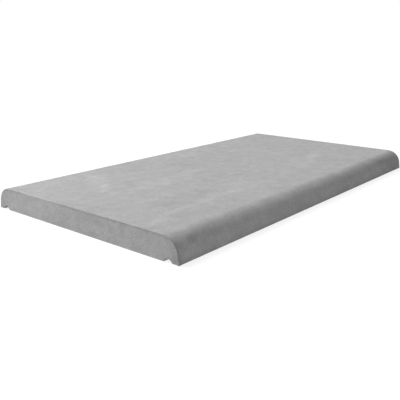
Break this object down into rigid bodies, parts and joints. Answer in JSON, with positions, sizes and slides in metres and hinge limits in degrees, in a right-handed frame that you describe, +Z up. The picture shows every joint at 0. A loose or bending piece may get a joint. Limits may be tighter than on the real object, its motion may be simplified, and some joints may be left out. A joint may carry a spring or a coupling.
{
  "type": "wall coping slab",
  "caption": "Flat cast concrete slab that caps a fence or garden wall, with rounded long edges and a drip groove under each.",
  "frame": {"origin": "middle of the underside, which lies on the floor", "axes": "+X along the slab's length, +Y across its width, +Z up out of the flat top"},
  "size_m": [1, 0.5496, 0.05],
  "materials": {
    "concrete": "matte"
  },
  "bodies": {
    "root": {"coping_slab": "concrete"}
  },
  "joints": []
}
